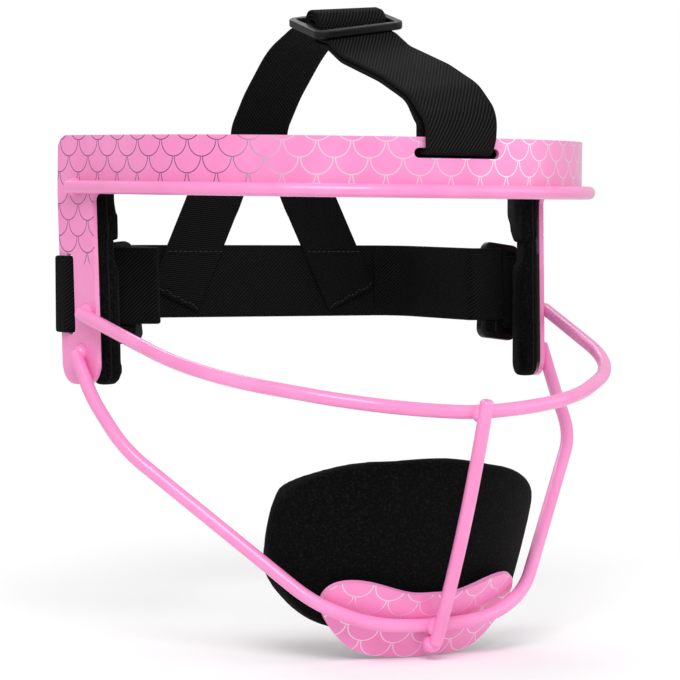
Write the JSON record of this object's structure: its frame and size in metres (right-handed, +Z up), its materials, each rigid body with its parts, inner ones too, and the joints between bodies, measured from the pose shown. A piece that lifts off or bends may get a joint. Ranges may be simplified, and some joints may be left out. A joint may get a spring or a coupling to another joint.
{
  "type": "softball face guard",
  "caption": "Softball face guard: painted steel band, wires and chin plate, stick-on foam pads, and an adjustable elastic harness with a ponytail gap.",
  "frame": {"origin": "middle of the head at the height of the forehead band's middle, on the plane of symmetry, between the temple plates", "axes": "+Z up; -Y the way the wearer faces; +X to the wearer's left"},
  "size_m": [0.187, 0.16, 0.2126],
  "materials": {
    "steel": "glossy pink paint with a silver fish-scale pattern",
    "weld": "glossy pink paint over weld beads",
    "hook_tape": "woven hook tape",
    "fleece": "brushed fabric over foam",
    "webbing": "woven elastic webbing",
    "moulding": "moulded plastic, satin"
  },
  "bodies": {
    "guard": {"forehead_band": "steel", "brow_wire": "steel", "cheek_wire": "steel", "jaw_wire": "steel", "nose_bar": "steel", "chin_plate": "steel", "weld_beads": "weld", "forehead_hook_strip": "hook_tape", "temple_hook_strip_left": "hook_tape", "temple_hook_strip_right": "hook_tape", "chin_hook_strip": "hook_tape", "anchor_loop_left": "webbing", "anchor_loop_right": "webbing", "crown_strap_front": "webbing", "crown_strap_rear": "webbing", "back_strap_side_left": "webbing", "back_strap_side_right": "webbing"},
    "forehead_cushion": {"forehead_pad": "fleece"},
    "chin_cushion": {"chin_pad": "fleece"},
    "temple_cushion_left": {"temple_pad_left": "fleece"},
    "temple_cushion_right": {"temple_pad_right": "fleece"},
    "crown_adjuster": {"crown_glide": "moulding", "crown_roll": "webbing"},
    "side_adjuster_left": {"side_glide_left": "moulding", "side_roll_left": "webbing"},
    "side_adjuster_right": {"side_glide_right": "moulding", "side_roll_right": "webbing"},
    "rear_strap": {"back_strap_middle": "webbing", "v_leg_left": "webbing", "v_leg_right": "webbing"}
  },
  "joints": [
    {"name": "forehead_pad_peel", "type": "slide", "parent": "guard", "child": "forehead_cushion", "axis": [0, 1, 0], "range_m": [0, 0.012]},
    {"name": "chin_pad_peel", "type": "slide", "parent": "guard", "child": "chin_cushion", "axis": [0, 1, 0], "range_m": [0, 0.015]},
    {"name": "crown_adjuster_slide", "type": "slide", "parent": "guard", "child": "crown_adjuster", "axis": [0, -0.9703, -0.2419], "range_m": [0, 0.035]},
    {"name": "rear_strap_stretch", "type": "slide", "parent": "guard", "child": "rear_strap", "axis": [0, 1, 0], "range_m": [0, 0.045], "stiffness_N_per_m": 120, "deforming": ["back_strap_side_left", "back_strap_side_right", "crown_strap_rear"]},
    {"name": "temple_pad_left_peel", "type": "slide", "parent": "guard", "child": "temple_cushion_left", "axis": [-0.9063, -0.4226, 0], "range_m": [0, 0.006]},
    {"name": "side_adjuster_left_slide", "type": "slide", "parent": "guard", "child": "side_adjuster_left", "axis": [-0.9617, -0.2499, 0.1129], "range_m": [0, 0.004], "deforming": ["back_strap_side_left"]},
    {"name": "temple_pad_right_peel", "type": "slide", "parent": "guard", "child": "temple_cushion_right", "axis": [0.9063, -0.4226, 0], "range_m": [0, 0.006]},
    {"name": "side_adjuster_right_slide", "type": "slide", "parent": "guard", "child": "side_adjuster_right", "axis": [0.9617, -0.2499, 0.1129], "range_m": [0, 0.004], "deforming": ["back_strap_side_right"]}
  ]
}
